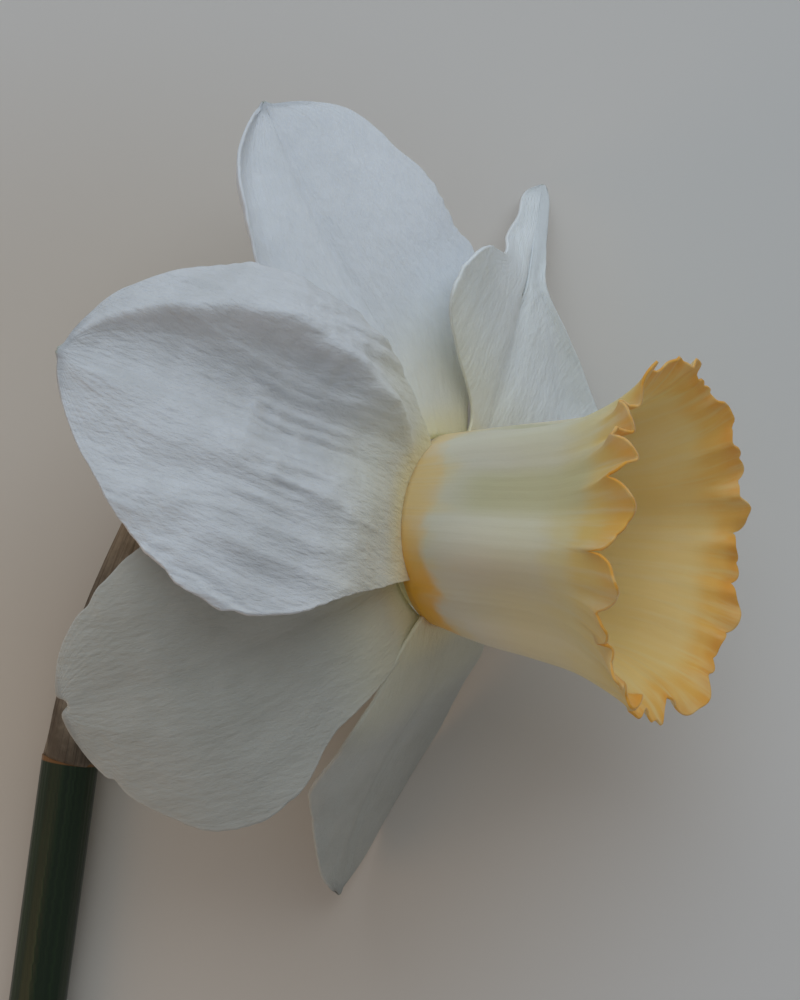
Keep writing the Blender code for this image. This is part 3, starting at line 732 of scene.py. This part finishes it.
# ---- Trumpet --------------------------------------------
def corona_points():
    """The middle surface of the trumpet: fluted side, then a flared mouth cut into uneven lobes."""
    s = np.linspace(0, 1, CORONA_UPWARDS + 1) ** 0.85
    turn = np.arange(CORONA_AROUND) * FULL_TURN / CORONA_AROUND
    turn, s = np.meshgrid(turn, s)
    share = turn / FULL_TURN
    level = s * 0
    side = np.sin(math.pi * np.clip(s * 1.05, 0, 1))
    radius = spline(CORONA_RADIUS, s)
    along = spline(CORONA_ALONG, s)
    radius += side * FLUTE_DEPTH * ((0.5 + 0.5 * np.cos(CORONA_RIBS * turn + FLUTE_PHASE)) ** 1.6 - 0.4)
    radius += side * MM * 0.22 * smooth_noise(share * 24, s * 1.2, CORONA_SEED + 1, wrap_u=24)
    place_in_lobe = CORONA_LOBES * share + 0.42 * smooth_noise(share * 10, level + 3, CORONA_SEED, wrap_u=10)
    place_in_lobe = place_in_lobe - np.floor(place_in_lobe)
    size = 1 + 0.45 * smooth_noise(share * 11, level + 11, CORONA_SEED + 2, wrap_u=11)
    mouth = np.clip((s - MOUTH_FROM) / (1 - MOUTH_FROM), 0, 1)
    rounded = np.sqrt(4 * place_in_lobe * (1 - place_in_lobe) + 0.02)
    ruffle = np.sin(2 * math.pi * place_in_lobe) + 0.35 * np.sin(4 * math.pi * place_in_lobe + 1)
    radius += size * ruffle * mouth ** 2.2 * LOBE_RUFFLE
    crimp = smooth_noise(share * 72, s * 2, CORONA_SEED + 3, wrap_u=72) * mouth ** 4 * CRIMP_DEPTH
    major = 1.5 * np.abs(np.cos(CORONA_MAJOR_LOBES / 2 * turn + 0.55)) ** 0.7 - 0.9
    major += 0.7 * smooth_noise(share * 8, level + 17, CORONA_SEED + 4, wrap_u=8) - 0.8 * bump_at(turn,
                                                                                                  math.pi,
                                                                                                  0.5)
    nibbled = 0.3 * smooth_noise(share * 84, level + 4, CORONA_SEED + 5, wrap_u=84)
    reach = (size * rounded * LOBE_REACH + (major + nibbled) * MM) * mouth ** 3
    lean = np.radians(42 + 20 * smooth_noise(share * 9, level + 8, CORONA_SEED + 6, wrap_u=9))
    for start, stop, longer in MOUTH_LOBES:
        within = np.clip((np.degrees(turn) - start) / (stop - start), 0, 1)
        tongue = np.sqrt(4 * within * (1 - within)) * longer * MM * mouth ** 2
        along += tongue
        radius += 0.12 * tongue
    radius += crimp + reach * np.sin(lean)
    along += reach * np.cos(lean) - 0.6 * crimp
    return np.stack([radius * np.cos(turn), radius * np.sin(turn), along], -1)


def make_corona(veins):
    outside = corona_finish("trumpet_outside",
                            [(0.0, (0.80, 0.66, 0.36)), (0.12, (0.73, 0.69, 0.54)),
                             (0.38, (0.71, 0.68, 0.49)),
                             (0.56, (0.74, 0.64, 0.34)), (0.76, (0.80, 0.55, 0.17)),
                             (1.0, (0.87, 0.45, 0.08))],
                            (0.76, 0.74, 0.60), 0.3, band=(1.0, 0.43, 0.015), valley_painted_shade=(0.56, 0.54, 0.30))
    inside = corona_finish("trumpet_inside",
                           [(0.0, (0.84, 0.64, 0.18)), (0.25, (0.97, 0.71, 0.27)), (0.6, (0.98, 0.66, 0.23)),
                            (0.8, (0.97, 0.50, 0.10)), (1.0, (0.92, 0.38, 0.05))],
                           (0.97, 0.75, 0.36), 0.4)
    trumpet = surface("fine_corona", from_flower(corona_points()), closed=True)
    trumpet = grow(trumpet, veins, outside, Veins=CORONA_VEINS, Depth=CORONA_VEIN_DEPTH, Wander=0.01)
    trumpet.data.materials.append(inside)
    thicken(trumpet, CORONA_THICKNESS, inner_slot=1, rim_slot=1)
    keep(trumpet, "corona")


# ---- Behind and inside the flower -----------------------
def make_floral_tube():
    """The funnel from the ovary to the petals, with six low ridges."""
    s = np.linspace(0, 1, 60)
    turn, s = np.meshgrid(np.arange(144) * FULL_TURN / 144, s)
    radius = spline(TUBE_RADIUS, s) * (1 + 0.035 * np.cos(TUBE_RIDGES * turn) * (1 - 0.5 * s))
    points = np.stack([radius * np.cos(turn), radius * np.sin(turn), spline(TUBE_ALONG, s)], -1)
    made, tree, shader = finish("tube_green_to_cream")
    _, blade, _, along = coordinates(tree)
    streak = noise(tree, stretched(tree, blade, (50.0, 2.0, 1.0)), 1.0, 3.0)
    colour = ramp(tree, along,
                  [(0.0, (0.13, 0.24, 0.05)), (0.4, (0.34, 0.44, 0.13)), (0.75, (0.62, 0.62, 0.27)),
                                (1.0, (0.78, 0.70, 0.32))])
    streaks = maths(tree, "MULTIPLY", ramp(tree, streak, [(0.4, 0.0), (0.75, 0.5)]),
                    ramp(tree, along, [(0.6, 1.0), (0.95, 0.2)]))
    colour = blend(tree, streaks, colour, (0.25, 0.36, 0.10))
    tree.links.new(colour, shader.inputs["Base Color"])
    bump(tree, shader, streak, 0.0003, 0.6)
    soft_tissue(shader, 0.0015)
    funnel = surface("fine_floral_tube", from_flower(points), closed=True)
    funnel.data.materials.append(made)
    thicken(funnel, TUBE_WALL)
    keep(funnel, "floral_tube")


def make_ovary(green):
    """A three-sided seed capsule between the stalk and the tube."""
    heights = np.cos(np.linspace(math.pi * 0.985, math.pi * 0.015, 48))
    path = from_flower(np.stack([heights * 0, heights * 0, -OVARY_TO_RING + heights * OVARY_HALF_LENGTH], -1))
    radii = OVARY_RADIUS * np.sqrt(1 - heights ** 2) ** 0.9
    ovary = tube("fine_ovary", path, radii, 96,
                 lambda angle: 1 + 0.045 * np.cos(3 * angle) - 0.03 * np.abs(np.cos(1.5 * angle)) ** 8)
    ovary.data.materials.append(green)
    keep(ovary, "ovary")


def make_style(grains):
    """The pale style that rises through the trumpet, with a swollen, grained stigma."""
    pale = grain_finish("style_pale_green", (0.58, 0.62, 0.26), (0.74, 0.74, 0.46), 900.0)
    heights = np.linspace(0, 1, 90)
    path = from_flower(np.stack([heights * 0, heights * 0, (STYLE_START + STYLE_LENGTH * heights) * MM], -1))
    stigma = 0.85 * np.clip((heights - 0.93) / 0.05, 0, 1) ** 2
    rounded = 0.5 * np.clip((heights - 0.985) / 0.015, 0, 1)
    radii = (STYLE_RADIUS + stigma - rounded) * MM
    style = tube("fine_style", path, radii, 36, lambda angle: 1 + 0.10 * np.cos(3 * angle))
    style = grow(style, grains, pale, **{"Grain Radius": 0.06 * MM, "Grains Per Area": 3.0e6, "Seed": 5})
    keep(style, "style")


def make_stamens(grains):
    """Thin filaments from the tube's wall, each with a long grooved anther dusted with pollen."""
    pollen = grain_finish("pollen_yellow", (0.62, 0.36, 0.03), (0.86, 0.62, 0.12), 1400.0)
    stalk = spline(STAMEN_PATH, np.linspace(0, 1, 24))
    top = stalk[-1]
    rise = np.linspace(0.02, 1, 60)
    anther = np.stack([top[0] + 0.3 * MM * np.sin(rise * 3), top[1] + ANTHER_LENGTH * rise], -1)
    line = np.concatenate([stalk, anther])
    thin, thick = STAMEN_RADII
    swell = thick * np.clip(np.sin(math.pi * np.clip(rise * 0.96 + 0.02, 0, 1)), 0, 1) ** 0.35
    radii = np.concatenate([np.full(len(stalk), thin), np.maximum(swell, 0.3)]) * MM
    for number in range(STAMEN_COUNT):
        path = np.stack([line[:, 0], line[:, 0] * 0, line[:, 1]], -1)
        turn = 360 * (number + 0.5) / STAMEN_COUNT
        stamen = tube(f"fine_stamen_{number + 1}", from_flower(path, turn), radii, 28,
                      lambda angle: 1 + 0.14 * np.cos(2 * angle) - 0.12 * np.abs(np.cos(angle)) ** 10)
        stamen = grow(stamen, grains, pollen, **{"Grain Radius": 0.055 * MM, "Grains Per Area": 4.5e7,
                                                 "Seed": number})
        keep(stamen, f"stamen_{number + 1}")


# ---- Stem, stalk and sheath -----------------------------
def path_curve(name, points):
    curve = bpy.data.curves.new(name, "CURVE")
    curve.dimensions = "3D"
    line = curve.splines.new("POLY")
    line.points.add(len(points) - 1)
    for point, place in zip(line.points, points):
        point.co = (*place, 1)
    piece = bpy.data.objects.new(name, curve)
    bpy.context.scene.collection.objects.link(piece)
    return piece


def lengthways_uv(piece, path):
    """Gives a stalk a place along it (0 at the start of its path) and round it."""
    mesh = piece.data
    corner = np.empty(len(mesh.loops), int)
    mesh.loops.foreach_get("vertex_index", corner)
    spots = np.empty(len(mesh.vertices) * 3)
    mesh.vertices.foreach_get("co", spots)
    spots = spots.reshape(-1, 3)
    distance = ((spots[:, None, :] - path[None, ::4]) ** 2).sum(-1)
    nearest = distance.argmin(axis=1)
    along = nearest / (len(path[::4]) - 1)
    centre = path[::4][nearest]
    around = np.arctan2(spots[:, 2] - centre[:, 2], spots[:, 0] - centre[:, 0]) / (2 * math.pi) + 0.5
    layer = mesh.uv_layers.new(name="blade")
    layer.data.foreach_set("uv", np.stack([around[corner], along[corner]], -1).astype(np.float32).ravel())


def make_stem(stalks, green, pith):
    """The hollow flower stem: ribbed skin, closed at its top, cut square at its end."""
    flat = spline(np.array(STEM_PATH) * MM, np.linspace(0, 1, 160))
    low, high = np.array(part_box("stem"))
    height = (low[2] + high[2]) / 2
    path = np.column_stack([flat[:, 0] + ring_centre[0], flat[:, 1] + ring_centre[1],
                            np.full(len(flat), height)])
    stem = grow(path_curve("fine_stem", path), stalks, green,
                **{"Radius": STEM_RADIUS, "Flatness": 0.95, "Ribs": 13, "Rib Depth": 0.007, "Taper": 0.98})
    close_ends(stem, near=path[0])
    lengthways_uv(stem, path)
    stem.data.materials.append(pith)
    thicken(stem, STEM_WALL, inner_slot=1, rim_slot=1, offset=-1.0)
    keep(stem, "stem")


def make_stalk(stalks, green):
    """The short bent stalk that holds the ovary, inside the sheath."""
    path = spline(np.array(STALK_PATH) * MM, np.linspace(0, 1, 90)) + ring_centre
    stalk = grow(path_curve("fine_pedicel", path), stalks, green,
                 **{"Radius": STALK_RADIUS, "Flatness": 1.0, "Ribs": 8, "Rib Depth": 0.03, "Taper": 1.08})
    close_ends(stalk)
    lengthways_uv(stalk, path)
    keep(stalk, "pedicel")


def make_sheath(veins):
    """The papery sheath: creased, with a ragged split edge, round the stalk."""
    rows, columns = 120, 90
    s = np.linspace(0, 1, rows)
    centre = spline(np.array(SHEATH_PATH) * MM, s) + ring_centre
    heading = unit(np.gradient(centre, axis=0))
    up = np.array([0.0, 0.0, 1.0])
    up = unit(up - (heading @ up)[:, None] * heading)
    right = np.cross(heading, up)
    across = np.linspace(0, 1, columns)
    across, along = np.meshgrid(across, s)
    opening = np.radians(spline(SHEATH_OPENING, along) + 7 * smooth_noise(along * 14, across * 0 + 2,
                                                                          SHEATH_SEED))
    angle = opening + (FULL_TURN - 2 * opening) * across
    radius = spline(SHEATH_RADIUS, along) * MM
    crease = 0.28 * smooth_noise(across * 9, along * 3, SHEATH_SEED + 1)
    crease = crease + 0.14 * smooth_noise(across * 22, along * 7, SHEATH_SEED + 2)
    radius = radius + crease * MM * np.clip(along / 0.1, 0.2, 1)
    points = centre[:, None] + radius[..., None] * (np.cos(angle)[..., None] * right[:, None]
                                                    + np.sin(angle)[..., None] * up[:, None])
    sheath = surface("fine_spathe", points)
    sheath = grow(sheath, veins, sheath_finish(), Veins=16, Depth=0.08 * MM, Wander=0.04)
    thicken(sheath, SHEATH_THICKNESS)
    keep(sheath, "spathe")


def keep(piece, node):
    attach(piece, "root")
    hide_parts(node)


# ---- Floor, light and camera ----------------------------
def make_lamp(name, place, size, power, colour, target):
    """A soft round lamp that shines towards its target."""
    data = bpy.data.lights.new(name, "AREA")
    data.shape = "DISK"
    data.size = size
    data.energy = power
    data.color = colour
    lamp = bpy.data.objects.new(name, data)
    lamp.location = place
    towards = np.array(target) - np.array(place)
    lamp.rotation_euler = Vector(towards).to_track_quat("-Z", "Y").to_euler()
    bpy.context.scene.collection.objects.link(lamp)


def make_stage():
    """The pale surface that the flower lies on, with a warm patch of painted shade, an even sky, a large cool
    lamp and a small warm one.
    """
    bpy.ops.mesh.primitive_plane_add(size=4)
    floor = bpy.context.object
    floor.name = "floor"
    made, tree, shader = finish("pale_floor")
    place = tree.nodes.new("ShaderNodeTexCoord").outputs["Object"]
    cloud = noise(tree, place, 3.0, 2.0)
    colour = blend(tree, cloud, (0.74, 0.73, 0.715), (0.78, 0.77, 0.755))
    middle = tuple(ring_centre + np.array(FLOOR_SHADE_PATCH) * MM)
    away = add(tree, "ShaderNodeVectorMath", {0: place, 1: middle}, operation="DISTANCE").outputs["Value"]
    # painted shade: a darker, warmer patch on the floor towards the lower left
    floor_painted_shade = ramp(tree, away, [(0.0, 0.62), (0.045, 0.42), (0.10, 0.0)])
    colour = blend(tree, floor_painted_shade, colour, (0.60, 0.49, 0.36))
    tree.links.new(colour, shader.inputs["Base Color"])
    shader.inputs["Roughness"].default_value = 0.9
    shader.inputs["Specular IOR Level"].default_value = 0.1
    floor.data.materials.append(made)

    world = bpy.data.worlds.new("studio")
    bpy.context.scene.world = world
    world.use_nodes = True
    sky = world.node_tree.nodes["Background"]
    sky.inputs["Color"].default_value = (0.90, 0.92, 0.95, 1)
    sky.inputs["Strength"].default_value = SKY_STRENGTH

    make_lamp("soft_window", (0.12, 0.85, 0.70), 1.4, 6.3, (0.84, 0.93, 1.0), ring_centre)
    make_lamp("warm_bounce", (-0.17, -0.05, 0.10), 0.12, 0.05, (1.0, 0.60, 0.30), (-0.03, 0.0, 0.0))


def make_camera():
    """Straight above the flower, as it lies."""
    data = bpy.data.cameras.new("camera")
    data.lens = CAMERA_LENS
    data.sensor_width = 36
    data.clip_start = 0.01
    camera = bpy.data.objects.new("camera", data)
    camera.location = tuple(ring_centre + np.array(CAMERA_PLACE) * MM)
    bpy.context.scene.collection.objects.link(camera)
    bpy.context.scene.camera = camera
    bpy.context.scene.view_settings.view_transform = "Standard"


def main():
    """Makes the trees and the shared finishes, then the stage, then each piece in turn."""
    veins = raised_veins_tree()
    stalks = ribbed_stalk_tree()
    grains = grains_tree()
    green = green_finish("stem_dark_green", (0.004, 0.016, 0.004), (0.011, 0.030, 0.008), (0.20, 0.09, 0.025))
    light_green = green_finish("stalk_green", (0.10, 0.20, 0.04), (0.22, 0.34, 0.09))
    pith = grain_finish("stem_pith", (0.40, 0.50, 0.22), (0.60, 0.66, 0.38), 700.0)
    make_camera()
    make_stage()
    make_petals(veins)
    make_corona(veins)
    make_floral_tube()
    make_ovary(light_green)
    make_style(grains)
    make_stamens(grains)
    make_stem(stalks, green, pith)
    make_stalk(stalks, light_green)
    make_sheath(veins)


main()
